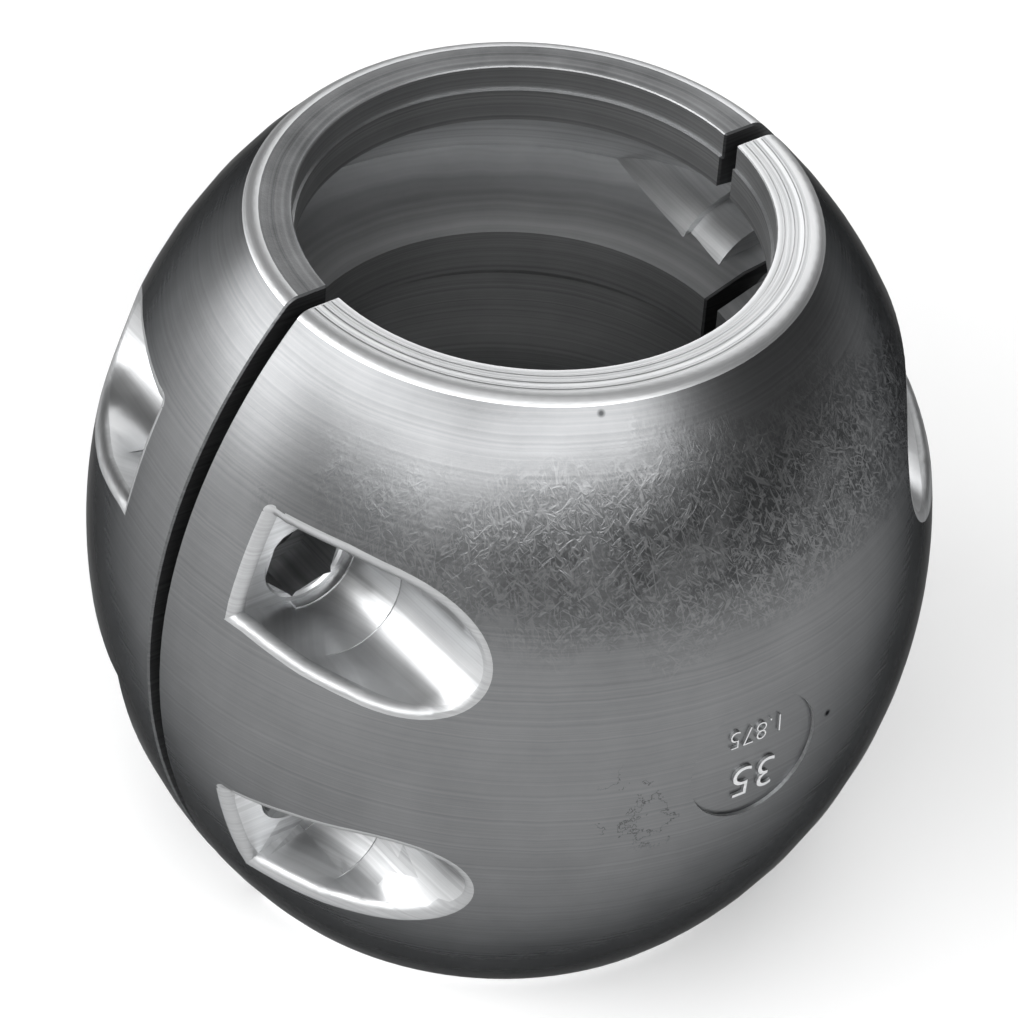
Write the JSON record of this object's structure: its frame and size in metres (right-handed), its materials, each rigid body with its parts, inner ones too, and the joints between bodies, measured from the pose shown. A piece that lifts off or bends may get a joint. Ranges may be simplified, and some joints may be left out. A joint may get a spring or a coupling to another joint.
{
  "type": "split shaft collar anode",
  "caption": "Barrel-shaped split zinc collar that clamps round a propeller shaft and corrodes in place of the boat's other metal parts.",
  "frame": {"origin": "centre of the lower end face, on the shaft axis", "axes": "+Z along the shaft axis, +Y across the clamping gap from the front half to the back half, +X along the gap"},
  "size_m": [0.109, 0.108, 0.0983],
  "materials": {
    "cast_zinc": "bare cast zinc, skin turned and bored, lightly scuffed"
  },
  "bodies": {
    "root": {"front_half": "cast_zinc", "back_half": "cast_zinc"}
  },
  "joints": []
}
